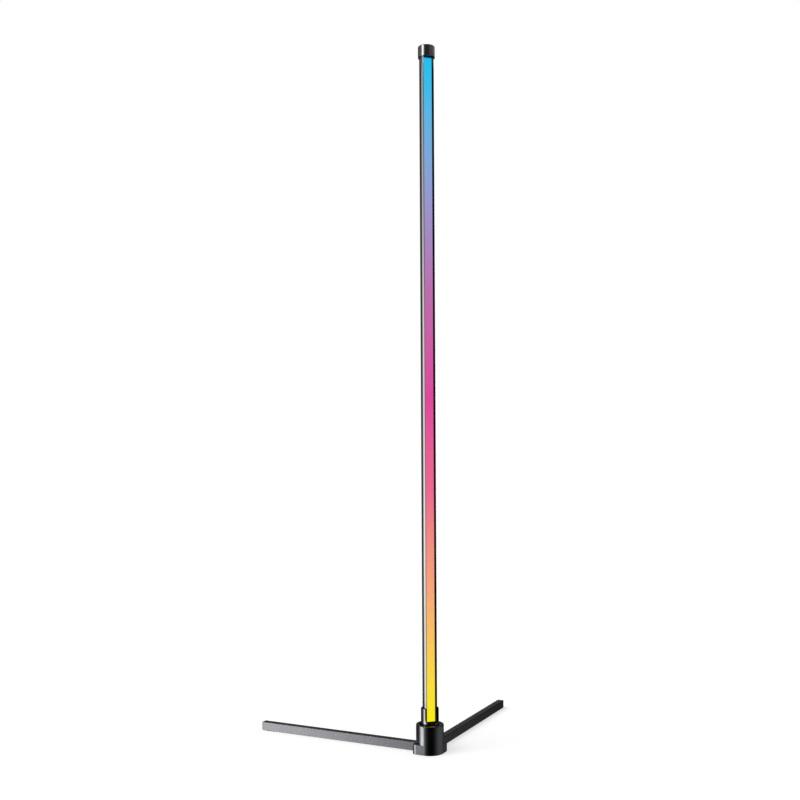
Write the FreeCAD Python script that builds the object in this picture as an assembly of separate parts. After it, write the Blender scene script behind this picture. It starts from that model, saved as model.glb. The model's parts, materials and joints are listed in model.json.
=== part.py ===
import FreeCAD, Part
import math
import os

# Corner floor lamp: a light pole that stands on a hub with two legs set at a right angle, so that
# the legs run along the two walls of a room's corner. Millimetres. +Z is up, the floor is z = 0,
# the pole's axis is x = y = 0, the light faces -Y, and the legs point to +X+Y and -X+Y.
# A size named ..._front is a distance in front of the pole's axis, towards -Y.

V = FreeCAD.Vector
full_turn = 360.0

# ---- Clearances ----
slide_clearance = 0.15    # round pieces that slide into each other, each side
fit_clearance = 0.1       # flat-sided pieces that fit inside each other, each side
thread_clearance = 0.05   # a screw in its own thread, radial
screw_clearance = 0.15    # a screw in a clearance hole, radial

# ---- Light pole: a round extrusion with a channel along its front ----
pole_radius = 14.55
pole_wall = 1.5
section_length = 452.7
channel_half_width = 9.6
channel_wall = 1.8
channel_floor_front = 1.0
web_thickness = 1.6
pocket_front = 5.0        # front end of the two side pockets
groove_front = 3.4        # rear edge of the snap grooves in the channel's walls
groove_height = 1.4
groove_depth = 0.8
lip_round = 0.5           # of the channel's two front edges

# ---- Joiners inside the pole ----
joiner_length = 60.0
joiner_relief_radius = 5.0
joiner_screw_near = 9.0   # from the seam between two sections
joiner_screw_far = 22.0
insert_length = 44.0
lock_screw_above_hub = 16.0
set_screw_sink = 0.3      # a set screw's end below the surface that it enters by

# ---- Light strip and its cover ----
diffuser_front = 5.6
diffuser_skin = 1.6
diffuser_leg = 1.4
diffuser_edge_round = 0.6
channel_plug_top = 62.3
strip_half_width = 6.0
strip_thickness = 0.4
strip_end_gap = 2.0       # strip and cover stop this far below the pole's end
strip_tail = 8.0          # strip below the cover's lower end, where the lead is soldered
chip_size = 5.0
chip_height = 1.5
chip_pitch = 16.667

# ---- Top cap ----
cap_wall = 2.2
cap_top = 3.0
cap_skirt = 19.6
cap_round = 2.0
cap_lip_round = 0.5
tongue_length = 15.0
cap_bar_sink = 0.5        # the bar's face behind the channel's front edges
cap_bar_drop = 1.5        # the bar's end below the cap's rim

# ---- Hub ----
hub_radius = 27.7
hub_wall = 2.5
hub_top = 57.0
hub_ground_gap = 0.3
rim_round = 1.6
block_top = 19.6
block_corner_round = 9.0
block_edge_round = 0.8
recess_radius = 21.0
recess_depth = 5.0
recess_chamfer = 0.5

# ---- Sleeve that holds the pole ----
sleeve_wall = 3.1
sleeve_top = 89.3
sleeve_round = 1.5
sleeve_floor = 2.5
pole_seat = 41.0
collar_wall = 1.6
window_half_width = 14.0
window_above_hub = 0.5
window_corner_round = 2.5
window_foot_round = 11.0
ear_radius = 3.4
ear_angles = (90.0, 210.0, 330.0)

# ---- Underside ----
pad_radius = 22.5
pad_thickness = 2.0
pad_hole_radius = 3.8
base_plate_thickness = 1.2
boss_radius = 3.2
boss_wall_gap = 1.5       # between a corner boss and the hub's walls
boss_wall_overlap = 0.3   # of the front boss with the hub's wall

# ---- Legs ----
leg_reach = 394.3
leg_width = 14.5
leg_height = 17.3
leg_wall = 1.2
leg_corner_round = 1.0
leg_ground_gap = 1.0
leg_angles = {"right": 45.0, "left": 135.0}
arm_reach = 32.0          # of the bracket's arms into the legs
bracket_radius = 13.0
bracket_hole_radius = 4.5
bracket_screw_offset = 17.0
leg_screw_near = 9.0      # from the hub's face
leg_screw_far = 23.0
end_plug_head = 2.0
end_plug_depth = 12.0
end_plug_wall = 1.6
end_plug_round = 0.6
leg_foot_length = 22.0
leg_foot_width = 10.0
leg_foot_setback = 5.0

# ---- Screws ----
small_screw_radius = 1.5
small_screw_length = 8.0
large_screw_radius = 2.0
bracket_screw_length = 9.0
leg_screw_length = 7.0
joiner_screw_length = 7.0
lock_screw_length = 10.0
head_ratio = 1.8          # a screw head's radius over its shank's
head_height = 1.3
thin_head_height = 0.8
socket_ratio = 0.72       # a hexagon socket's corner radius over the shank's
socket_depth = 0.6
hole_spare = 1.0          # a tapped hole's depth beyond its screw

# ---- Controller inside the hub ----
board_above_bracket = 3.5
board_thickness = 1.6
board_edge_gap = 0.2
post_radius = 2.3
post_head_gap = 0.2       # between a board screw's head and the hub's wall
post_web = 2.4            # rib between a post and the hub's wall
post_angles = (30.0, 150.0, 270.0)
jack_width = 9.0
jack_length = 11.5
jack_height = 11.0
jack_axis_height = 6.5
jack_nose_radius = 4.0
jack_nose_sink = 0.3
jack_bore_radius = 2.85
jack_bore_depth = 9.5
jack_pin_radius = 1.0
jack_pin_root = 1.5
jack_pin_setback = 1.2
connector_size = (8.0, 5.0, 6.0)
controller_size = (7.0, 7.0, 1.0)
controller_place = (9.0, -9.0)
capacitor_radius = 4.0
capacitor_height = 9.0
capacitor_place = (-13.0, 3.0)
lead_radius = 1.2
lead_gap = 0.05
lead_shift = (-3.0, -2.0)   # from the channel to the connector
lead_straight = 4.0         # out of the connector
lead_hole_radius = 3.0
lead_solder_length = 3.0
arc_share = 0.45            # of the shorter run, taken by a bend of the lead

# ---- Sizes that follow ----
section_names = ("pole_lower", "pole_middle", "pole_upper")
joiner_screw_spots = (joiner_screw_near, joiner_screw_far)
leg_screw_spots = (leg_screw_near, leg_screw_far)
pole_top = pole_seat + len(section_names) * section_length
chamber_radius = pole_radius - pole_wall
web_rear = web_thickness - channel_floor_front
channel_outer = channel_half_width + channel_wall
channel_lip_front = math.sqrt(pole_radius ** 2 - channel_half_width ** 2)
sleeve_inner = pole_radius + slide_clearance
sleeve_outer = sleeve_inner + sleeve_wall
collar_inner = sleeve_outer + slide_clearance
collar_outer = collar_inner + collar_wall
cap_inner = pole_radius + slide_clearance
cap_outer = cap_inner + cap_wall
hub_inner = hub_radius - hub_wall
ear_circle = collar_outer + small_screw_radius
post_circle = hub_inner - small_screw_radius * head_ratio - post_head_gap
corner_boss_offset = hub_inner - boss_radius - boss_wall_gap
front_boss_circle = hub_inner - boss_radius + boss_wall_overlap
recess_floor = hub_top - recess_depth
ceiling = recess_floor - hub_wall
wing_ceiling = block_top - hub_wall
plate_top = pad_thickness + base_plate_thickness
leg_top = leg_ground_gap + leg_height
bracket_low = leg_ground_gap + leg_wall + fit_clearance
bracket_top = leg_top - leg_wall - fit_clearance
arm_half_width = leg_width / 2 - leg_wall - fit_clearance
board_low = bracket_top + board_above_bracket
board_top = board_low + board_thickness
jack_axis_z = board_top + jack_axis_height
jack_face_y = hub_radius - jack_nose_sink
jack_pin_start_y = jack_face_y - jack_bore_depth - jack_pin_root
jack_body_y = math.sqrt(hub_inner ** 2 - (jack_width / 2) ** 2) - slide_clearance
strip_low = channel_plug_top - strip_tail
strip_high = pole_top - strip_end_gap
lead_front = channel_floor_front + strip_thickness + lead_radius + lead_gap
window_low = hub_top + window_above_hub
lock_screw_z = hub_top + lock_screw_above_hub


# ---- Helpers ----

def polar(radius, degrees, z=0.0):
    """Point at a radius and an angle about the pole's axis."""
    angle = math.radians(degrees)
    return V(radius * math.cos(angle), radius * math.sin(angle), z)


def turned(shape, degrees):
    """Copy of a shape turned about the pole's axis."""
    copy = shape.copy()
    copy.rotate(V(0, 0, 0), V(0, 0, 1), degrees)
    return copy


def legs_frame(shape):
    """Turns a shape drawn with the right leg along +X and the left leg along +Y into its place."""
    return turned(shape, leg_angles["right"])


def moved(shape, place):
    copy = shape.copy()
    copy.translate(place)
    return copy


def one_solid(shape):
    """The single solid that a boolean operation leaves."""
    assert len(shape.Solids) == 1
    return shape.Solids[0]


def joined(shape, pieces):
    """Union with its split faces merged."""
    for piece in pieces:
        shape = shape.fuse(piece)
    return shape.removeSplitter()


def without(shape, cutters):
    for cutter in cutters:
        shape = shape.cut(cutter)
    return shape


def box(x_low, x_high, y_low, y_high, z_low, z_high):
    corner = V(x_low, y_low, z_low)
    return Part.makeBox(x_high - x_low, y_high - y_low, z_high - z_low, corner)


def rod(radius, z_low, z_high, x=0.0, y=0.0):
    """Upright cylinder."""
    return Part.makeCylinder(radius, z_high - z_low, V(x, y, z_low))


def rod_along_y(radius, y_low, y_high, z, x=0.0):
    return Part.makeCylinder(radius, y_high - y_low, V(x, y_low, z), V(0, 1, 0))


def flat_face(points):
    """Face bounded by straight lines through points in the plane z = 0."""
    corners = [V(x, y, 0) for x, y in points]
    return Part.Face(Part.makePolygon(corners + corners[:1]))


def rectangle(x_low, x_high, y_low, y_high):
    return flat_face([(x_low, y_low), (x_high, y_low), (x_high, y_high), (x_low, y_high)])


def disc(radius):
    return Part.Face(Part.Wire(Part.makeCircle(radius)))


def prism(face, z_low, z_high):
    """Upright prism on a face drawn at z = 0."""
    return moved(face, V(0, 0, z_low)).extrude(V(0, 0, z_high - z_low))


def rounded_face(corners, radii):
    """Face of a convex polygon whose corners are arcs, each with its own radius."""
    points = [V(x, y, 0) for x, y in corners]
    count = len(points)
    arcs = []
    for index, corner in enumerate(points):
        back = (points[index - 1] - corner).normalize()
        ahead = (points[(index + 1) % count] - corner).normalize()
        half_angle = back.getAngle(ahead) / 2
        radius = radii[index]
        tangent = radius / math.tan(half_angle)
        inward = (back + ahead).normalize()
        middle = corner + inward * (radius / math.sin(half_angle) - radius)
        arcs.append((corner + back * tangent, middle, corner + ahead * tangent))
    edges = []
    for index, (start, middle, end) in enumerate(arcs):
        edges.append(Part.Arc(start, middle, end).toShape())
        edges.append(Part.LineSegment(end, arcs[(index + 1) % count][0]).toShape())
    return Part.Face(Part.Wire(edges))


def rounded_rectangle(half_x, half_y, radius):
    corners = [(-half_x, -half_y), (half_x, -half_y), (half_x, half_y), (-half_x, half_y)]
    return rounded_face(corners, [radius] * len(corners))


def screw(shank_radius, length, head):
    """Screw that points up from its seat at z = 0, with a round head and a hexagon socket."""
    head_radius = shank_radius * head_ratio
    body = joined(rod(head_radius, -head, 0), [rod(shank_radius, 0, length)])
    return one_solid(body.cut(hexagon_socket(shank_radius, -head)))


def lengthwise_edges(bar, length, x, y):
    """Upright edges of a prism that stand at x on either side, and at y."""
    return [edge for edge in bar.Edges
            if abs(edge.Length - length) < fit_clearance
            and abs(abs(edge.CenterOfMass.x) - x) < fit_clearance
            and abs(edge.CenterOfMass.y - y) < fit_clearance]


def set_screw(shank_radius, length):
    """Headless screw that points up, with its socket at z = 0."""
    return rod(shank_radius, 0, length).cut(hexagon_socket(shank_radius, 0))


def hexagon_socket(shank_radius, z):
    sides = 6
    corners = [polar(shank_radius * socket_ratio, full_turn * side / sides) for side in range(sides)]
    face = flat_face([(corner.x, corner.y) for corner in corners])
    return prism(face, z, z + socket_depth)


def facing_in(shape, y, z):
    """Lays an upright screw down so that it points from the rear, at y, towards the axis."""
    copy = shape.copy()
    copy.rotate(V(0, 0, 0), V(1, 0, 0), 90)
    copy.translate(V(0, y, z))
    return copy


# ---- Pole ----

def pole_profile():
    """Round section with the strip's channel in front and a chamber with side pockets behind."""
    mouth = rectangle(-channel_half_width, channel_half_width, -pole_radius, -channel_floor_front)
    groove_reach = channel_half_width + groove_depth
    grooves = rectangle(-groove_reach, groove_reach, -groove_front - groove_height, -groove_front)
    behind_lips = rectangle(-pole_radius, pole_radius, -pocket_front, pole_radius)
    channel_box = rectangle(-channel_outer, channel_outer, -pole_radius, web_rear)
    chamber = disc(chamber_radius).common(behind_lips).cut(channel_box)
    return without(disc(pole_radius), [mouth, grooves, chamber])


def joiner_profile():
    """D-shaped section that slides in the pole's chamber, with a round relief along its flat."""
    flat_y = web_rear + slide_clearance
    outer = disc(chamber_radius - slide_clearance)
    rear = rectangle(-pole_radius, pole_radius, flat_y, pole_radius)
    relief = moved(disc(joiner_relief_radius), V(0, flat_y, 0))
    return outer.common(rear).cut(relief)


def joiner_screw_heights():
    """Heights of the screws beside each seam between two sections."""
    heights = []
    for seam in range(1, len(section_names)):
        seam_z = pole_seat + seam * section_length
        for spot in joiner_screw_spots:
            heights += [seam_z - spot, seam_z + spot]
    return heights


def rear_holes(radius, heights):
    """Cutters for screws that enter the pole from the rear."""
    return [rod_along_y(radius, joiner_relief_radius / 2, pole_radius * 2, z) for z in heights]


def pole_section(index):
    z_low = pole_seat + index * section_length
    z_high = z_low + section_length
    section = one_solid(prism(pole_profile(), z_low, z_high))
    lips = lengthwise_edges(section, section_length, channel_half_width, -channel_lip_front)
    section = section.makeFillet(lip_round, lips)
    heights = joiner_screw_heights() + [lock_screw_z]
    holes = rear_holes(large_screw_radius + screw_clearance, [z for z in heights if z_low < z < z_high])
    return one_solid(without(section, holes))


def chamber_block(z_low, z_high, screw_heights):
    """Length of joiner with tapped holes."""
    block = prism(joiner_profile(), z_low, z_high)
    holes = rear_holes(large_screw_radius + thread_clearance, screw_heights)
    return one_solid(without(block, holes))


def pole_joiner(seam):
    seam_z = pole_seat + seam * section_length
    heights = [seam_z + side * spot for spot in joiner_screw_spots for side in (-1, 1)]
    return chamber_block(seam_z - joiner_length / 2, seam_z + joiner_length / 2, heights)


def pole_foot_insert():
    return chamber_block(pole_seat, pole_seat + insert_length, [lock_screw_z])


def joiner_screws():
    start_y = pole_radius - set_screw_sink
    upright = set_screw(large_screw_radius, joiner_screw_length)
    return Part.makeCompound([facing_in(upright, start_y, z) for z in joiner_screw_heights()])


def pole_lock_screw():
    upright = set_screw(large_screw_radius, lock_screw_length)
    return facing_in(upright, sleeve_outer - set_screw_sink, lock_screw_z)


# ---- Light strip ----

def cover_profile():
    """U-shaped section whose legs stand on the channel's floor and snap into its grooves."""
    half = channel_half_width - fit_clearance
    face = diffuser_front
    foot = channel_floor_front + fit_clearance
    skin = rectangle(-half, half, -face, -foot)
    hollow = rectangle(diffuser_leg - half, half - diffuser_leg, -face + diffuser_skin, -foot)
    rib_reach = channel_half_width + groove_depth - 2 * fit_clearance
    rib_rear = groove_front + fit_clearance
    rib_front = groove_front + groove_height - fit_clearance
    ribs = rectangle(-rib_reach, rib_reach, -rib_front, -rib_rear)
    return joined(skin, [ribs]).cut(hollow)


def rounded_cover(z_low, z_high):
    """Length of cover with its two front edges rounded."""
    cover = one_solid(prism(cover_profile(), z_low, z_high))
    half = channel_half_width - fit_clearance
    edges = lengthwise_edges(cover, z_high - z_low, half, -diffuser_front)
    return one_solid(cover.makeFillet(diffuser_edge_round, edges))


def led_strip():
    half = strip_half_width
    face_front = channel_floor_front + strip_thickness
    return box(-half, half, -face_front, -channel_floor_front, strip_low, strip_high)


def led_chips():
    """Light-emitting chips at an even pitch behind the cover."""
    rear = -channel_floor_front - strip_thickness
    half = chip_size / 2
    lit_length = strip_high - channel_plug_top
    count = int(lit_length // chip_pitch)
    first = channel_plug_top + (lit_length - (count - 1) * chip_pitch) / 2
    chips = []
    for index in range(count):
        z = first + index * chip_pitch
        chips.append(box(-half, half, rear - chip_height, rear, z - half, z + half))
    return Part.makeCompound(chips)


# ---- Cap ----

def top_cap():
    """Cup over the pole's end, with a tongue in its chamber and a bar across its channel's mouth."""
    z_high = pole_top + cap_top
    z_low = pole_top - cap_skirt
    cup = rod(cap_outer, z_low, z_high)
    rim = [edge for edge in cup.Edges if edge.BoundBox.ZMin > z_high - cap_top and edge.Closed]
    lip = [edge for edge in cup.Edges if edge.BoundBox.ZMax < z_low + cap_top and edge.Closed]
    cup = cup.makeFillet(cap_round, rim).makeFillet(cap_lip_round, lip)
    cup = cup.cut(rod(cap_inner, z_low, pole_top))
    tongue = prism(joiner_profile(), pole_top - tongue_length, pole_top)
    half = channel_half_width - fit_clearance
    bar_front = channel_lip_front - cap_bar_sink
    bar_rear = diffuser_front + fit_clearance
    bar = box(-half, half, -bar_front, -bar_rear, z_low - cap_bar_drop, pole_top)
    return one_solid(joined(cup, [tongue, bar]))


# ---- Sleeve ----

def quarter_arc(start, corner, end):
    """Quarter circle from start to end, tangent to the two lines that meet at the corner."""
    centre = start + end - corner
    middle = centre + (corner - centre) * math.sqrt(0.5)
    return Part.Arc(start, middle, end).toShape()


def window_cutter():
    """Slot as wide as the pole through the sleeve's front, with rounded corners below and above."""
    half = window_half_width
    flat = half - window_foot_round
    wide = half + window_corner_round
    foot_z = window_low + window_foot_round
    shoulder_z = sleeve_top - window_corner_round
    above = sleeve_top + sleeve_wall
    edges = [Part.LineSegment(V(-flat, 0, window_low), V(flat, 0, window_low)).toShape()]
    for side in (-1, 1):
        foot_start = V(side * flat, 0, window_low)
        foot_end = V(side * half, 0, foot_z)
        top_start = V(side * half, 0, shoulder_z)
        top_end = V(side * wide, 0, sleeve_top)
        edges.append(quarter_arc(foot_start, V(side * half, 0, window_low), foot_end))
        edges.append(Part.LineSegment(foot_end, top_start).toShape())
        edges.append(quarter_arc(top_start, V(side * half, 0, sleeve_top), top_end))
        edges.append(Part.LineSegment(top_end, V(side * wide, 0, above)).toShape())
    edges.append(Part.LineSegment(V(-wide, 0, above), V(wide, 0, above)).toShape())
    face = Part.Face(Part.Wire(Part.__sortEdges__(edges)))
    return face.extrude(V(0, -hub_radius, 0))


def pole_sleeve():
    """Tube with a floor, three screw ears below the hub's collar and a window for the light."""
    floor_low = pole_seat - sleeve_floor
    tube = rod(sleeve_outer, floor_low, sleeve_top)
    rim = [edge for edge in tube.Edges if edge.Closed and edge.BoundBox.ZMin > pole_seat]
    flange = [rod(collar_outer, floor_low, pole_seat)]
    for angle in ear_angles:
        centre = polar(ear_circle, angle)
        flange.append(rod(ear_radius, floor_low, pole_seat, centre.x, centre.y))
    body = joined(tube.makeFillet(sleeve_round, rim), flange)
    cuts = [rod(sleeve_inner, pole_seat, sleeve_top)]
    cuts.append(rod(lead_hole_radius, floor_low, pole_seat, 0, -lead_front))
    cuts.append(window_cutter())
    cuts.append(rod_along_y(large_screw_radius + thread_clearance, 0, hub_radius, lock_screw_z))
    for angle in ear_angles:
        centre = polar(ear_circle, angle)
        hole_radius = small_screw_radius + screw_clearance
        cuts.append(rod(hole_radius, floor_low, pole_seat, centre.x, centre.y))
    return one_solid(without(body, cuts))


def screws_on_circle(radius, angles, z, length):
    upright = screw(small_screw_radius, length, head_height)
    return Part.makeCompound([moved(upright, polar(radius, angle, z)) for angle in angles])


# ---- Hub ----

def block_face(inset):
    """Square with sides along the legs: its front corner is as round as the hub itself."""
    half = hub_radius - inset
    corner = block_corner_round - inset
    outline = [(-half, -half), (half, -half), (half, half), (-half, half)]
    return rounded_face(outline, [half, corner, corner, corner])


def base_boss_places():
    """Centres of the base plate's screws, in the legs' frame."""
    corner = corner_boss_offset
    front = -front_boss_circle * math.sqrt(0.5)
    return [(corner, -corner), (corner, corner), (-corner, corner), (front, front)]


def bracket_screw_places():
    diagonal = bracket_screw_offset / 2
    return [(bracket_screw_offset, 0), (0, bracket_screw_offset), (-diagonal, 0)]


def hub_outside():
    block = prism(block_face(0), hub_ground_gap, block_top)
    top_edges = [edge for edge in block.Edges if edge.BoundBox.ZMin > wing_ceiling]
    block = legs_frame(block.makeFillet(block_edge_round, top_edges))
    column = rod(hub_radius, hub_ground_gap, hub_top)
    rim = [edge for edge in column.Edges if edge.Closed and edge.BoundBox.ZMin > ceiling]
    return joined(block, [column.makeFillet(rim_round, rim)])


def hub_cavity():
    """Hollow of the hub's shell, with its bosses left standing."""
    block = legs_frame(prism(block_face(hub_wall), hub_ground_gap, wing_ceiling))
    column = rod(hub_inner, hub_ground_gap, ceiling)
    return without(joined(block, [column]), hub_bosses())


def hub_openings():
    """Recess and bore for the sleeve, slots for the bracket's arms and hole for the power socket."""
    recess = rod(recess_radius, recess_floor, hub_top)
    flare_radius = recess_radius + recess_chamfer
    flare_low = V(0, 0, hub_top - recess_chamfer)
    flare = Part.makeCone(recess_radius, flare_radius, recess_chamfer, flare_low)
    bore = rod(collar_inner, pole_seat, hub_top)
    inlet = rod_along_y(jack_nose_radius + slide_clearance, 0, hub_radius * 2, jack_axis_z)
    half = arm_half_width + fit_clearance
    slot = box(bracket_radius, hub_radius * 2, -half, half, hub_ground_gap, bracket_top + fit_clearance)
    return [recess, flare, bore, inlet] + [turned(slot, angle) for angle in leg_angles.values()]


def hub_bosses():
    """Collar, ear bosses and board posts below the recess, and the base plate's four bosses."""
    bosses = [rod(collar_outer, pole_seat, ceiling)]
    for angle in ear_angles:
        centre = polar(ear_circle, angle)
        bosses.append(rod(ear_radius, pole_seat, ceiling, centre.x, centre.y))
    for angle in post_angles:
        centre = polar(post_circle, angle)
        web = box(post_circle, hub_inner + hub_wall / 2, -post_web / 2, post_web / 2, board_top, ceiling)
        bosses += [rod(post_radius, board_top, ceiling, centre.x, centre.y), turned(web, angle)]
    for x, y in base_boss_places():
        bosses.append(legs_frame(rod(boss_radius, plate_top, wing_ceiling, x, y)))
    return bosses


def hub_pilot_holes():
    radius = small_screw_radius + thread_clearance
    depth = small_screw_length + hole_spare
    holes = []
    for angle in ear_angles:
        centre = polar(ear_circle, angle)
        holes.append(rod(radius, pole_seat, pole_seat + depth - sleeve_floor, centre.x, centre.y))
    for angle in post_angles:
        centre = polar(post_circle, angle)
        holes.append(rod(radius, board_top, board_top + depth - board_thickness, centre.x, centre.y))
    for x, y in base_boss_places():
        holes.append(legs_frame(rod(radius, plate_top, plate_top + depth, x, y)))
    return holes


def hub_housing():
    shell = hub_outside().cut(hub_cavity())
    return one_solid(without(shell, hub_openings() + hub_pilot_holes()))


def hub_base_plate():
    """Sheet that closes the hub from below."""
    plate = prism(block_face(hub_wall + slide_clearance), pad_thickness, plate_top)
    small = small_screw_radius + screw_clearance
    large = large_screw_radius + screw_clearance
    holes = [rod(small, pad_thickness, plate_top, x, y) for x, y in base_boss_places()]
    holes += [rod(large, pad_thickness, plate_top, x, y) for x, y in bracket_screw_places()]
    return legs_frame(one_solid(without(plate, holes)))


def screws_in_legs_frame(shank_radius, length, places):
    upright = screw(shank_radius, length, head_height)
    return legs_frame(Part.makeCompound([moved(upright, V(x, y, pad_thickness)) for x, y in places]))


def hub_foot_pad():
    """Rubber disc on the floor, open round the heads of the screws above it."""
    places = bracket_screw_places() + base_boss_places()[-1:]
    holes = [rod(pad_hole_radius + screw_clearance, 0, pad_thickness, x, y) for x, y in places]
    return legs_frame(one_solid(without(rod(pad_radius, 0, pad_thickness), holes)))


# ---- Legs ----

def leg_bracket():
    """Casting on the base plate, with an arm that reaches into each leg."""
    tip = hub_radius + arm_reach
    inner = hub_inner + fit_clearance
    body = rod(bracket_radius, plate_top, bracket_top)
    root = box(0, inner, -arm_half_width, arm_half_width, plate_top, bracket_top)
    arm = box(inner, tip, -arm_half_width, arm_half_width, bracket_low, bracket_top)
    body = joined(body, [turned(piece, angle) for piece in (root, arm) for angle in (0.0, 90.0)])
    tapped = large_screw_radius + thread_clearance
    cuts = [rod(bracket_hole_radius, plate_top, bracket_top)]
    depth = bracket_screw_length + hole_spare - base_plate_thickness
    for x, y in bracket_screw_places():
        cuts.append(rod(tapped, plate_top, plate_top + depth, x, y))
    depth = leg_screw_length + hole_spare - leg_wall
    for spot in leg_screw_spots:
        hole = rod(tapped, bracket_low, bracket_low + depth, hub_radius + spot)
        cuts += [hole, turned(hole, 90.0)]
    return legs_frame(one_solid(without(body, cuts)))


def along_leg(face, start, length):
    """Prism along +X on a section drawn in x and y, which become across and up."""
    bar = face.extrude(V(0, 0, length))
    bar.rotate(V(0, 0, 0), V(1, 1, 1), 120)
    bar.translate(V(start, 0, leg_ground_gap + leg_height / 2))
    return bar


def leg_tube():
    """Rectangular tube from the hub's face to the end plug."""
    length = leg_reach - end_plug_head - hub_radius
    outer = rounded_rectangle(leg_width / 2, leg_height / 2, leg_corner_round)
    half_y = leg_width / 2 - leg_wall
    half_z = leg_height / 2 - leg_wall
    bore = rectangle(-half_y, half_y, -half_z, half_z)
    tube = along_leg(outer.cut(bore), hub_radius, length)
    hole_radius = large_screw_radius + screw_clearance
    holes = [rod(hole_radius, 0, leg_ground_gap + leg_wall, hub_radius + spot) for spot in leg_screw_spots]
    return one_solid(without(tube, holes))


def leg_end_plug():
    """Cap flush with the tube's outside, on a hollow stem inside the tube."""
    start = leg_reach - end_plug_head
    outline = rounded_rectangle(leg_width / 2, leg_height / 2, leg_corner_round)
    head = one_solid(along_leg(outline, start, end_plug_head))
    outer_edges = [edge for edge in head.Edges if edge.BoundBox.XMin > leg_reach - end_plug_round]
    head = head.makeFillet(end_plug_round, outer_edges)
    half_y = arm_half_width
    half_z = leg_height / 2 - leg_wall - fit_clearance
    stem = rectangle(-half_y, half_y, -half_z, half_z)
    core = rectangle(end_plug_wall - half_y, half_y - end_plug_wall,
                     end_plug_wall - half_z, half_z - end_plug_wall)
    stem_bar = along_leg(stem.cut(core), start - end_plug_depth, end_plug_depth)
    return one_solid(joined(head, [stem_bar]))


def leg_foot():
    """Rubber strip under the leg's end."""
    far = leg_reach - end_plug_head - leg_foot_setback
    half = leg_foot_width / 2
    strip = rounded_rectangle(leg_foot_length / 2, half, half / 2)
    return moved(prism(strip, 0, leg_ground_gap), V(far - leg_foot_length / 2, 0, 0))


def leg_screws():
    upright = screw(large_screw_radius, leg_screw_length, thin_head_height)
    seats = [V(hub_radius + spot, 0, leg_ground_gap) for spot in leg_screw_spots]
    return Part.makeCompound([moved(upright, seat) for seat in seats])


# ---- Controller ----

def control_board():
    board = rod(hub_inner - board_edge_gap, board_low, board_top)
    holes = []
    for angle in post_angles:
        centre = polar(post_circle, angle)
        holes.append(rod(small_screw_radius + screw_clearance, board_low, board_top, centre.x, centre.y))
    return one_solid(without(board, holes))


def on_board(size, x, y):
    """Box of a size that stands on the board."""
    width, depth, height = size
    return box(x - width / 2, x + width / 2, y - depth / 2, y + depth / 2, board_top, board_top + height)


def dc_jack():
    """Power socket: a block on the board with a round nose in the hub's rear wall."""
    body = box(-jack_width / 2, jack_width / 2, jack_body_y - jack_length, jack_body_y,
               board_top, board_top + jack_height)
    nose = rod_along_y(jack_nose_radius, jack_body_y, jack_face_y, jack_axis_z)
    bore = rod_along_y(jack_bore_radius, jack_face_y - jack_bore_depth, jack_face_y, jack_axis_z)
    root = rod_along_y(jack_pin_radius + thread_clearance, jack_pin_start_y, jack_face_y, jack_axis_z)
    return one_solid(without(joined(body, [nose]), [bore, root]))


def dc_jack_pin():
    return rod_along_y(jack_pin_radius, jack_pin_start_y, jack_face_y - jack_pin_setback, jack_axis_z)


def lead_points():
    """Corners of the lead's way from the connector up to the strip."""
    shift_x, shift_y = lead_shift
    start_z = board_top + connector_size[2]
    bend_z = pole_seat - sleeve_floor
    return [V(shift_x, shift_y - lead_front, start_z),
            V(shift_x, shift_y - lead_front, start_z + lead_straight),
            V(0, -lead_front, bend_z),
            V(0, -lead_front, strip_low + lead_solder_length)]


def bent_path(points):
    """Straight runs through points, joined by tangent arcs as large as the runs allow."""
    edges = []
    start = points[0]
    for before, corner, after in zip(points, points[1:], points[2:]):
        back = before - corner
        ahead = after - corner
        tangent = arc_share * min(back.Length, ahead.Length)
        back.normalize()
        ahead.normalize()
        half_angle = back.getAngle(ahead) / 2
        radius = tangent * math.tan(half_angle)
        inward = (back + ahead).normalize()
        middle = corner + inward * (radius / math.sin(half_angle) - radius)
        edges.append(Part.LineSegment(start, corner + back * tangent).toShape())
        edges.append(Part.Arc(corner + back * tangent, middle, corner + ahead * tangent).toShape())
        print("lead bend radius", round(radius, 2))
        start = corner + ahead * tangent
    edges.append(Part.LineSegment(start, points[-1]).toShape())
    return Part.Wire(edges)


def strip_lead():
    """Round lead from the board to the strip's lower end."""
    points = lead_points()
    path = bent_path(points)
    ring = Part.Wire(Part.makeCircle(lead_radius, points[0], points[1] - points[0]))
    lead = path.makePipeShell([ring], True, True)
    expected = math.pi * lead_radius ** 2 * path.Length
    print("lead volume over section times length", round(lead.Volume / expected, 4))
    return lead


# ---- The assembly ----

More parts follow.
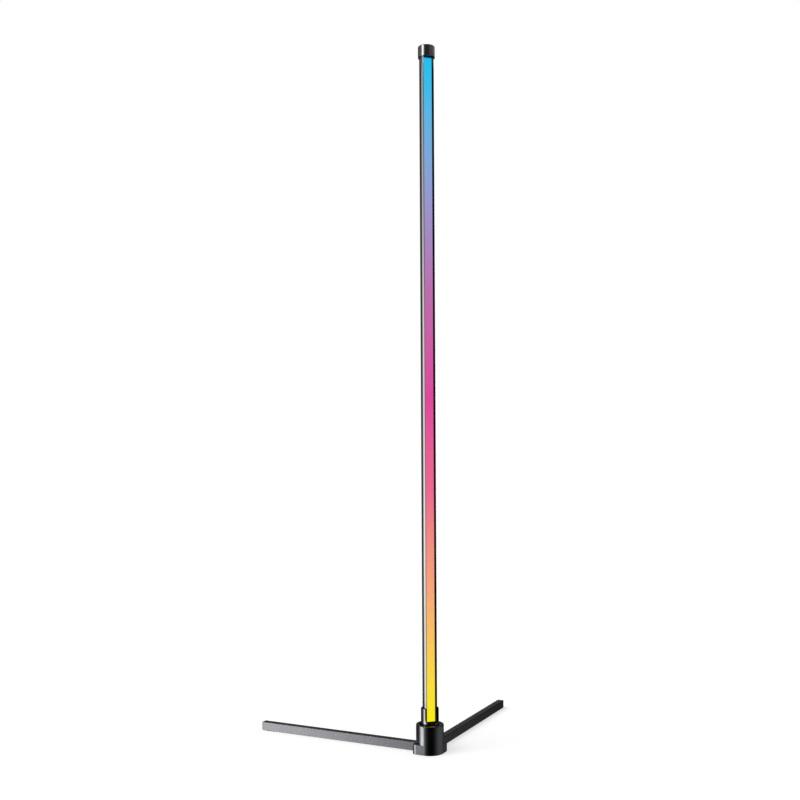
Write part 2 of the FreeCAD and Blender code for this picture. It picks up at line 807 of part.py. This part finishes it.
parts = {
    "hub_housing": hub_housing(),
    "hub_base_plate": hub_base_plate(),
    "base_plate_screws": screws_in_legs_frame(
        small_screw_radius, small_screw_length, base_boss_places()),
    "hub_foot_pad": hub_foot_pad(),
    "leg_bracket": leg_bracket(),
    "bracket_screws": screws_in_legs_frame(
        large_screw_radius, bracket_screw_length, bracket_screw_places()),
    "pole_sleeve": pole_sleeve(),
    "sleeve_screws": screws_on_circle(
        ear_circle, ear_angles, pole_seat - sleeve_floor, small_screw_length),
    "pole_foot_insert": pole_foot_insert(),
    "pole_lock_screw": pole_lock_screw(),
    "lower_pole_joiner": pole_joiner(1),
    "upper_pole_joiner": pole_joiner(2),
    "joiner_screws": joiner_screws(),
    "channel_plug": rounded_cover(pole_seat, channel_plug_top),
    "diffuser": rounded_cover(channel_plug_top, strip_high),
    "led_strip": led_strip(),
    "led_chips": led_chips(),
    "top_cap": top_cap(),
    "control_board": control_board(),
    "board_screws": screws_on_circle(post_circle, post_angles, board_low, small_screw_length),
    "controller_chip": on_board(controller_size, *controller_place),
    "smoothing_capacitor": rod(
        capacitor_radius, board_top, board_top + capacitor_height, *capacitor_place),
    "lead_connector": on_board(connector_size, lead_shift[0], lead_shift[1] - lead_front),
    "strip_lead": strip_lead(),
    "dc_jack": dc_jack(),
    "dc_jack_pin": dc_jack_pin(),
}
for index, name in enumerate(section_names):
    parts[name] = pole_section(index)
for side, angle in leg_angles.items():
    parts[side + "_leg"] = turned(leg_tube(), angle)
    parts[side + "_leg_end_plug"] = turned(leg_end_plug(), angle)
    parts[side + "_leg_foot"] = turned(leg_foot(), angle)
    parts[side + "_leg_screws"] = turned(leg_screws(), angle)

os.makedirs("parts", exist_ok=True)
for name, shape in parts.items():
    shape.exportStep("parts/" + name + ".step")
    state = "valid" if shape.isValid() else "INVALID"
    print(name, len(shape.Solids), "solids", round(shape.Volume, 1), "mm3", state)
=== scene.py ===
import json
import math

import bmesh
import bpy
from mathutils import Matrix, Vector


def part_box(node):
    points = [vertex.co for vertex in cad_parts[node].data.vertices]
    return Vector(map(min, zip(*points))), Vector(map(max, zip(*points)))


# Corner floor lamp: a slim black light pole on a small hub with two legs at a right angle.
# Metres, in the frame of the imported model: +Z up, the floor at z = 0, the light faces -Y.

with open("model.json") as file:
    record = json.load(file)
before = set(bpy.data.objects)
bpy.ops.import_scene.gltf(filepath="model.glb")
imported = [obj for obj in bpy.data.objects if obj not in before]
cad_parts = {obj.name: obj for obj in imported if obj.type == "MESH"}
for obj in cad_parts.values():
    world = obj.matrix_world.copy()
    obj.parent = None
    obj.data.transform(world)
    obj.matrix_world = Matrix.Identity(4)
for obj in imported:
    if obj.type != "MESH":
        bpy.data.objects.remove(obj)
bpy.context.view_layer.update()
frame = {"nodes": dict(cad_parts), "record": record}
nodes = frame["nodes"]

# ---- Camera, fitted to the pole, hub and legs of the photograph ----
camera_place = Vector((-0.7017, -1.9049, 0.5921))
camera_heading = math.radians(71.377)    # of the view direction, from +X towards +Y
camera_roll = math.radians(0.305)
camera_lens = 45.93
camera_sensor = 36.0
camera_shift_up = 0.0682

# ---- Studio. A bearing is an angle round the lamp from the camera, positive to the left ----
camera_azimuth = math.degrees(camera_heading) + 180.0
room_light = 0.6            # strength of the world on the objects
room_white = 1.0            # and where it is seen
floor_half_width = 30.0
floor_gray = 0.5
floor_glow = 0.55
sun_strength = 1.6
sun_width = math.radians(38.0)
sun_bearing = 62.0
sun_elevation = math.radians(46.0)

# ---- Reflection cards: bearings and heights at which one card ends and the next one starts ----
card_radius = 3.0
card_step = 4.0             # bearing that one face of a card spans
card_uv = "card"
front_left = 12
front_right = -65
low_front_right = -25
side_left = 118
side_right = -160
card_low = -3.0
card_high = 4.5
dark_card_high = 2.5
cap_card_high = 3.3
hub_card_high = -0.68     # below it the hub's walls mirror the cards, and above it the sleeve's
sleeve_card_high = -0.65  # above it the pole's

# ---- Noise and grays ----
noise_low, noise_high = 0.3, 0.7    # most of a noise lies between them
gray_blue = 1.08                    # a gray's blue as a share of its red

# ---- Pole ----
pole_ior = 1.6
pole_gloss = 0.5
pole_roughness = (0.06, 0.10)
pole_lines = (900.0, 2.0, (1.0, 1.0, 0.004))    # scale, detail and stretch of its faint lines
pole_blotch = 25.0
channel_half_width = 0.0098
channel_roughness = 0.8
# painted shade: the channel's walls, which lie in shade, get a reflection level of almost nothing
channel_shade_gloss = 0.02

# ---- Light cover ----
cover_colour = (0.004, 0.004, 0.004, 1.0)
cover_ior = 1.3
cover_gloss = 0.2
cover_roughness = (0.5, 0.65)
cover_haze = 400.0           # scale of the changes in its roughness
cover_cloud = 120.0          # scale of its faint cloudiness
cover_variation = 0.05
glow_half_width = 0.0084     # beyond it the cover's side legs dim the light
glow_edge = 0.0091
glow_edge_share = 0.05


# ---- Node helpers ----

class Shader:
    """A material's node tree, with short calls for the nodes that it uses."""

    def __init__(self, tree):
        self.tree = tree
        self.tree.nodes.clear()

    def node(self, kind, **settings):
        node = self.tree.nodes.new(kind)
        for name, value in settings.items():
            setattr(node, name, value)
        return node

    def link(self, source, target):
        self.tree.links.new(source, target)

    def feed(self, node, **inputs):
        """Sets a node's inputs by name: a socket is linked, and anything else is its value."""
        for name, value in inputs.items():
            socket = node.inputs[name.replace("_", " ")]
            if isinstance(value, bpy.types.NodeSocket):
                self.link(value, socket)
            else:
                socket.default_value = value
        return node

    def place(self):
        """Point of the surface in the lamp's own frame."""
        return self.node("ShaderNodeTexCoord").outputs["Object"]

    def stretched(self, stretch):
        """Point of the surface, with each axis scaled."""
        mapping = self.node("ShaderNodeMapping")
        self.feed(mapping, Vector=self.place(), Scale=stretch)
        return mapping.outputs["Vector"]

    def noise(self, scale, detail=3.0, stretch=None):
        node = self.node("ShaderNodeTexNoise")
        vector = self.stretched(stretch) if stretch else self.place()
        self.feed(node, Vector=vector, Scale=scale, Detail=detail)
        return node.outputs["Fac"]

    def math(self, operation, first, second=0.0):
        node = self.node("ShaderNodeMath", operation=operation)
        for socket, value in zip(node.inputs, (first, second)):
            if isinstance(value, bpy.types.NodeSocket):
                self.link(value, socket)
            else:
                socket.default_value = value
        return node.outputs["Value"]

    def spread(self, source, low, high):
        """Maps 0 to 1 onto low to high."""
        node = self.node("ShaderNodeMapRange")
        self.feed(node, Value=source, To_Min=low, To_Max=high)
        return node.outputs["Result"]

    def ramp(self, source, stops):
        """Colour ramp through (position, colour) stops."""
        node = self.node("ShaderNodeValToRGB")
        elements = node.color_ramp.elements
        while len(elements) < len(stops):
            elements.new(0.5)
        for element, (position, colour) in zip(elements, stops):
            element.position = position
            element.color = (*colour, 1.0)
        self.link(source, node.inputs["Fac"])
        return node.outputs["Color"]

    def between(self, source, dark, light):
        """Colour that goes from dark to light with a noise."""
        return self.ramp(source, [(noise_low, dark), (noise_high, light)])

    def bump(self, height, strength, distance):
        node = self.node("ShaderNodeBump")
        self.feed(node, Height=height, Strength=strength, Distance=distance)
        return node.outputs["Normal"]

    def finish(self, shader):
        output = self.node("ShaderNodeOutputMaterial")
        self.link(shader, output.inputs["Surface"])


def new_material(name):
    material = bpy.data.materials.new(name)
    material.use_nodes = True
    return material, Shader(material.node_tree)


# ---- Finishes ----

def surface(name, dark, light, rough, blotch=60.0, grain=None, ior=1.5, metallic=0.0):
    """Finish that varies between two colours and two roughnesses.

    grain is a fine raised pattern: its (scale, strength, depth, stretch)."""
    material, shade = new_material(name)
    blotches = shade.noise(blotch)
    principled = shade.node("ShaderNodeBsdfPrincipled")
    shade.feed(principled, Base_Color=shade.between(blotches, dark, light),
               Roughness=shade.spread(blotches, *rough), IOR=ior, Metallic=metallic)
    if grain:
        scale, strength, depth, stretch = grain
        normal = shade.bump(shade.noise(scale, 2.0, stretch), strength, depth)
        shade.feed(principled, Normal=normal)
    shade.finish(principled.outputs["BSDF"])
    return material


def gray(level):
    return (level, level, level * gray_blue)


def pole_finish():
    """Black anodised extrusion with faint lines along its length, rougher inside its channel,
    where painted shade turns its reflection almost off.
    """
    material, shade = new_material("black_anodised_aluminium")
    point = shade.node("ShaderNodeSeparateXYZ")
    shade.feed(point, Vector=shade.place())
    beside = shade.math("ABSOLUTE", point.outputs["X"])
    between_walls = shade.math("LESS_THAN", beside, channel_half_width)
    in_front = shade.math("LESS_THAN", point.outputs["Y"], 0.0)
    channel = shade.math("MULTIPLY", between_walls, in_front)
    rough = shade.math("MAXIMUM", shade.spread(shade.noise(*pole_lines), *pole_roughness),
                       shade.math("MULTIPLY", channel, channel_roughness))
    colour = shade.between(shade.noise(pole_blotch), gray(0.0015), gray(0.003))
    principled = shade.node("ShaderNodeBsdfPrincipled")
    # painted shade: inside the channel the reflection is turned almost off, so that its walls
    # look shaded
    shade.feed(principled, Base_Color=colour, Roughness=rough, IOR=pole_ior,
               Specular_IOR_Level=shade.spread(channel, pole_gloss, channel_shade_gloss))
    shade.finish(principled.outputs["BSDF"])
    return material


def hub_finish():
    """Moulded black plastic with a fine satin grain."""
    return surface("satin_black_plastic", gray(0.0012), gray(0.0024), (0.10, 0.16),
                   blotch=45.0, grain=(2600.0, 0.05, 0.00003, None))


def cap_finish():
    return surface("polished_black_plastic", gray(0.002), gray(0.004), (0.09, 0.14),
                   grain=(3200.0, 0.04, 0.00003, None), ior=1.6)


def leg_finish():
    """Black powder coat with its faint orange peel."""
    return surface("black_powder_coat", gray(0.008), gray(0.015), (0.24, 0.31),
                   blotch=70.0, grain=(900.0, 0.12, 0.00006, None))


def plug_finish():
    return surface("matt_black_plastic", gray(0.008), gray(0.014), (0.38, 0.48),
                   grain=(2200.0, 0.2, 0.00005, None))


def rubber_finish():
    return surface("black_rubber", gray(0.012), gray(0.022), (0.68, 0.85),
                   grain=(1500.0, 0.4, 0.0001, None))


def cast_finish():
    return surface("cast_zinc", gray(0.20), gray(0.34), (0.42, 0.62), blotch=180.0,
                   grain=(700.0, 0.5, 0.0002, None), metallic=1.0)


def plate_finish():
    return surface("zinc_plated_sheet", (0.42, 0.43, 0.44), (0.58, 0.58, 0.56), (0.28, 0.44),
                   blotch=320.0, grain=(1200.0, 0.2, 0.00005, None), metallic=1.0)


def joiner_finish():
    lines = (700.0, 0.3, 0.00004, (1.0, 1.0, 0.01))
    return surface("bare_extruded_aluminium", gray(0.50), gray(0.66), (0.30, 0.42),
                   grain=lines, metallic=1.0)


def screw_finish():
    return surface("black_oxide_steel", gray(0.04), gray(0.09), (0.30, 0.45), blotch=400.0,
                   grain=(1800.0, 0.3, 0.00004, None), metallic=1.0)


def contact_finish():
    return surface("nickel_contact", (0.55, 0.52, 0.46), (0.70, 0.67, 0.60), (0.18, 0.28),
                   blotch=500.0, metallic=1.0)


def can_finish():
    return surface("capacitor_sleeve", (0.012, 0.016, 0.05), (0.02, 0.025, 0.08), (0.30, 0.42),
                   blotch=300.0)


def epoxy_finish():
    return surface("chip_epoxy", gray(0.010), gray(0.022), (0.50, 0.65), blotch=600.0,
                   grain=(4000.0, 0.3, 0.00003, None))


def connector_finish():
    return surface("white_nylon", (0.62, 0.60, 0.54), (0.74, 0.72, 0.66), (0.40, 0.52),
                   blotch=250.0)


def jacket_finish():
    return surface("lead_jacket", gray(0.02), gray(0.035), (0.45, 0.6), blotch=300.0)


def package_finish():
    return surface("led_package", (0.78, 0.74, 0.55), (0.88, 0.85, 0.66), (0.35, 0.5),
                   blotch=700.0)


def strip_board_finish():
    """White flexible circuit."""
    return surface("white_flexible_circuit", (0.66, 0.66, 0.64), (0.80, 0.80, 0.78),
                   (0.35, 0.5), blotch=200.0)


def board_finish():
    """Green solder mask over darker copper areas."""
    return surface("green_solder_mask", (0.004, 0.045, 0.014), (0.010, 0.09, 0.03),
                   (0.22, 0.34), blotch=240.0)


# Light of the strip from its foot to its top: (share of the height, linear colour).
lemon = (0.93, 0.84, 0.0)
amber = (0.97, 0.65, 0.06)
apricot = (0.93, 0.37, 0.19)
coral = (0.84, 0.14, 0.26)
magenta = (0.74, 0.06, 0.33)
orchid = (0.50, 0.15, 0.42)
lavender = (0.26, 0.34, 0.64)
sky = (0.04, 0.50, 0.84)
cyan = (0.0, 0.53, 0.88)
glow_stops = ((0.0, lemon), (0.08, amber), (0.2, apricot), (0.34, coral), (0.48, magenta),
              (0.64, orchid), (0.8, lavender), (0.94, sky), (1.0, cyan))


def diffuser_finish():
    """Milky cover that glows in the gradient of the light strip behind it."""
    material, shade = new_material("milky_diffuser")
    low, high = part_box("diffuser")
    point = shade.node("ShaderNodeSeparateXYZ")
    shade.feed(point, Vector=shade.place())
    height = shade.node("ShaderNodeMapRange")
    shade.feed(height, Value=point.outputs["Z"], From_Min=low.z, From_Max=high.z)
    colour = shade.ramp(height.outputs["Result"], glow_stops)
    edge = shade.node("ShaderNodeMapRange")
    shade.feed(edge, Value=shade.math("ABSOLUTE", point.outputs["X"]), From_Min=glow_half_width,
               From_Max=glow_edge, To_Min=1.0, To_Max=glow_edge_share)
    cloud = shade.spread(shade.noise(cover_cloud), 1.0 - cover_variation, 1.0 + cover_variation)
    glow = shade.node("ShaderNodeVectorMath", operation="SCALE")
    shade.feed(glow, Vector=colour, Scale=shade.math("MULTIPLY", edge.outputs["Result"], cloud))
    rough = shade.spread(shade.noise(cover_haze), *cover_roughness)
    principled = shade.node("ShaderNodeBsdfPrincipled")
    shade.feed(principled, Base_Color=cover_colour, Roughness=rough, IOR=cover_ior,
               Specular_IOR_Level=cover_gloss,
               Emission_Color=glow.outputs["Vector"], Emission_Strength=1.0)
    shade.finish(principled.outputs["BSDF"])
    return material


finishes = {
    "hub_plastic": hub_finish, "cap_plastic": cap_finish, "pole_aluminium": pole_finish,
    "leg_steel": leg_finish, "cast_bracket": cast_finish, "plate_steel": plate_finish,
    "joiner_metal": joiner_finish, "foot_rubber": rubber_finish, "screw_steel": screw_finish,
    "diffuser_milk": diffuser_finish, "plug_plastic": plug_finish,
    "strip_board": strip_board_finish, "led_package": package_finish,
    "circuit_board": board_finish, "chip_epoxy": epoxy_finish, "capacitor_can": can_finish,
    "connector_plastic": connector_finish, "lead_jacket": jacket_finish,
    "jack_plastic": plug_finish, "contact_metal": contact_finish,
}


def dress_nodes():
    """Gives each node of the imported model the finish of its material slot."""
    materials = {slot: finish() for slot, finish in finishes.items()}
    for entry in frame["record"]["subparts"]:
        slot = entry["material_slot"]
        node = nodes[entry["node"]]
        node.data.materials.clear()
        node.data.materials.append(materials[slot])


# ---- Studio ----

neutral = (1.0, 1.0, 1.0)
cool = (0.92, 0.94, 1.0)


def seen_directly(shade):
    """1 for rays from the camera, reflections and clear materials, 0 for light on objects."""
    path = shade.node("ShaderNodeLightPath")
    seen = shade.math("MAXIMUM", path.outputs["Is Camera Ray"], path.outputs["Is Glossy Ray"])
    return shade.math("MAXIMUM", seen, path.outputs["Is Transmission Ray"])


def make_world():
    """White where it is seen, and soft grey light for everything else."""
    world = bpy.data.worlds.new("studio")
    world.use_nodes = True
    bpy.context.scene.world = world
    shade = Shader(world.node_tree)
    background = shade.node("ShaderNodeBackground")
    shade.feed(background, Color=(1.0, 1.0, 1.0, 1.0),
               Strength=shade.spread(seen_directly(shade), room_light, room_white))
    output = shade.node("ShaderNodeOutputWorld")
    shade.link(background.outputs["Background"], output.inputs["Surface"])


def make_floor():
    """White floor that keeps the lamp's shadow."""
    half = floor_half_width
    mesh = bpy.data.meshes.new("studio_floor")
    mesh.from_pydata([(-half, -half, 0), (half, -half, 0), (half, half, 0), (-half, half, 0)],
                     [], [(0, 1, 2, 3)])
    floor = bpy.data.objects.new("studio_floor", mesh)
    bpy.context.scene.collection.objects.link(floor)
    material, shade = new_material("white_floor")
    diffuse = shade.node("ShaderNodeBsdfDiffuse")
    shade.feed(diffuse, Color=(floor_gray, floor_gray, floor_gray, 1.0))
    glow = shade.node("ShaderNodeEmission")
    shade.feed(glow, Strength=shade.spread(seen_directly(shade), 0.0, floor_glow))
    both = shade.node("ShaderNodeAddShader")
    shade.link(diffuse.outputs["BSDF"], both.inputs[0])
    shade.link(glow.outputs["Emission"], both.inputs[1])
    shade.finish(both.outputs["Shader"])
    floor.data.materials.append(material)
    floor.visible_glossy = False


def card_material(name, level, bearings, heights, across, upright, tint):
    """Glow whose share of the level is given at some bearings and some heights."""
    material, shade = new_material(name)
    place = shade.node("ShaderNodeSeparateXYZ")
    shade.feed(place, Vector=shade.node("ShaderNodeUVMap", uv_map=card_uv).outputs["UV"])
    strength = level
    for axis, (start, end), stops in (("X", bearings, across), ("Y", heights, upright)):
        shares = [((at - start) / (end - start), (share, share, share)) for at, share in stops]
        if shares:
            strength = shade.math("MULTIPLY", shade.ramp(place.outputs[axis], shares), strength)
    glow = shade.node("ShaderNodeEmission")
    shade.feed(glow, Color=(*tint, 1.0), Strength=strength)
    shade.finish(glow.outputs["Emission"])
    material.cycles.emission_sampling = "NONE"
    return material


def card(name, bearings, heights, level, across=(), upright=(), tint=neutral):
    """Upright arc of glowing card round the lamp, which only reflections see."""
    steps = math.ceil((bearings[1] - bearings[0]) / card_step)
    mesh = bmesh.new()
    uv = mesh.loops.layers.uv.new(card_uv)
    columns = []
    for step in range(steps + 1):
        bearing = bearings[0] + (bearings[1] - bearings[0]) * step / steps
        angle = math.radians(camera_azimuth - bearing)
        x, y = card_radius * math.cos(angle), card_radius * math.sin(angle)
        columns.append([mesh.verts.new((x, y, z)) for z in heights])
    for step, (before, after) in enumerate(zip(columns, columns[1:])):
        face = mesh.faces.new((before[0], after[0], after[1], before[1]))
        corners = ((step, 0), (step + 1, 0), (step + 1, 1), (step, 1))
        for loop, (along, up) in zip(face.loops, corners):
            loop[uv].uv = (along / steps, up)
    data = bpy.data.meshes.new(name)
    mesh.to_mesh(data)
    mesh.free()
    data.materials.append(card_material(name, level, bearings, heights, across, upright, tint))
    piece = bpy.data.objects.new(name, data)
    bpy.context.scene.collection.objects.link(piece)
    piece.visible_camera = False
    piece.visible_diffuse = False
    piece.visible_shadow = False
    piece.visible_transmission = False


def make_reflections():
    """Softbox on the left and dark cards all round: a round gloss body mirrors the whole room."""
    card("softbox", (front_left, side_left), (sleeve_card_high, dark_card_high), level=16.0,
         across=[(front_left, 0.003), (29, 0.012), (42, 0.035), (50, 0.07), (56, 0.11),
                 (63, 0.44), (70, 0.88), (77, 1.06), (84, 0.76), (92, 0.33), (101, 0.07),
                 (113, 0.015), (side_left, 0.008)],
         upright=[(sleeve_card_high, 0.9), (0.1, 1.0), (0.9, 0.8), (1.35, 0.72),
                  (1.8, 0.5), (dark_card_high, 0.4)])
    card("low_softbox", (front_left, side_left), (card_low, sleeve_card_high), level=21.0,
         across=[(front_left, 0.003), (20, 0.0075), (29, 0.02), (38, 0.06), (42, 0.1),
                 (48, 0.17), (52, 0.3), (55, 0.54), (60, 0.84), (67, 1.0), (78, 0.85),
                 (89, 0.32), (99, 0.05), (113, 0.018), (side_left, 0.008)],
         upright=[(card_low, 0.4), (-0.92, 0.4), (-0.85, 0.95), (-0.82, 1.0), (-0.735, 1.0),
                  (-0.705, 0.28), (sleeve_card_high, 0.28)], tint=cool)
    card("cap_softbox", (28, 70), (dark_card_high, cap_card_high), level=30.0,
         across=[(28, 0.0), (42, 0.4), (52, 1.0), (62, 0.6), (70, 0.0)],
         upright=[(dark_card_high, 1.0), (3.0, 1.0), (cap_card_high, 0.3)])
    card("cap_front_card", (-35, 28), (dark_card_high, card_high), level=0.35)
    card("front_card", (front_right, front_left), (hub_card_high, dark_card_high), level=0.015)
    card("low_front_card", (low_front_right, front_left), (card_low, hub_card_high), level=0.015)
    card("right_card", (side_right, front_right), (hub_card_high, dark_card_high), level=0.03)
    card("low_right_card", (side_right, low_front_right), (card_low, hub_card_high), level=1.43,
         across=[(side_right, 0.05), (-145, 0.06), (-132, 0.13), (-115, 0.44), (-100, 0.68),
                 (-90, 0.88), (-78, 1.0), (-67, 0.9), (-57, 0.63), (-48, 0.38), (-38, 0.19),
                 (low_front_right, 0.04)],
         upright=[(card_low, 0.7), (-0.9, 0.7), (-0.83, 1.0), (hub_card_high, 1.0)], tint=cool)
    card("rear_right_card", (-180, side_right), (card_low, card_high), level=0.14)
    card("rear_left_card", (side_left, 180), (card_low, card_high), level=0.35,
         across=[(side_left, 1.0), (130, 0.85), (150, 0.5), (165, 0.28), (180, 0.28)],
         upright=[(card_low, 0.08), (-0.75, 0.08), (-0.5, 1.0), (card_high, 1.0)])


def make_sun():
    """Soft light from the upper left, which throws the pale shadow to the right."""
    light = bpy.data.lights.new("soft_key", "SUN")
    light.energy = sun_strength
    light.angle = sun_width
    lamp = bpy.data.objects.new("soft_key", light)
    azimuth = math.radians(camera_azimuth - sun_bearing)
    towards = Vector((math.cos(azimuth) * math.cos(sun_elevation),
                      math.sin(azimuth) * math.cos(sun_elevation), math.sin(sun_elevation)))
    lamp.rotation_mode = "QUATERNION"
    lamp.rotation_quaternion = towards.to_track_quat("Z", "Y")
    lamp.visible_glossy = False
    bpy.context.scene.collection.objects.link(lamp)


def make_camera():
    data = bpy.data.cameras.new("camera")
    data.sensor_width = camera_sensor
    data.lens = camera_lens
    data.shift_y = camera_shift_up
    camera = bpy.data.objects.new("camera", data)
    upright = Matrix.Rotation(math.radians(90), 4, "X")
    heading = Matrix.Rotation(camera_heading - math.radians(90), 4, "Z")
    roll = Matrix.Rotation(-camera_roll, 4, "Z")
    camera.matrix_world = Matrix.Translation(camera_place) @ heading @ upright @ roll
    bpy.context.scene.collection.objects.link(camera)
    bpy.context.scene.camera = camera


bpy.context.scene.view_settings.view_transform = "Standard"
make_camera()
dress_nodes()
make_world()
make_floor()
make_reflections()
make_sun()
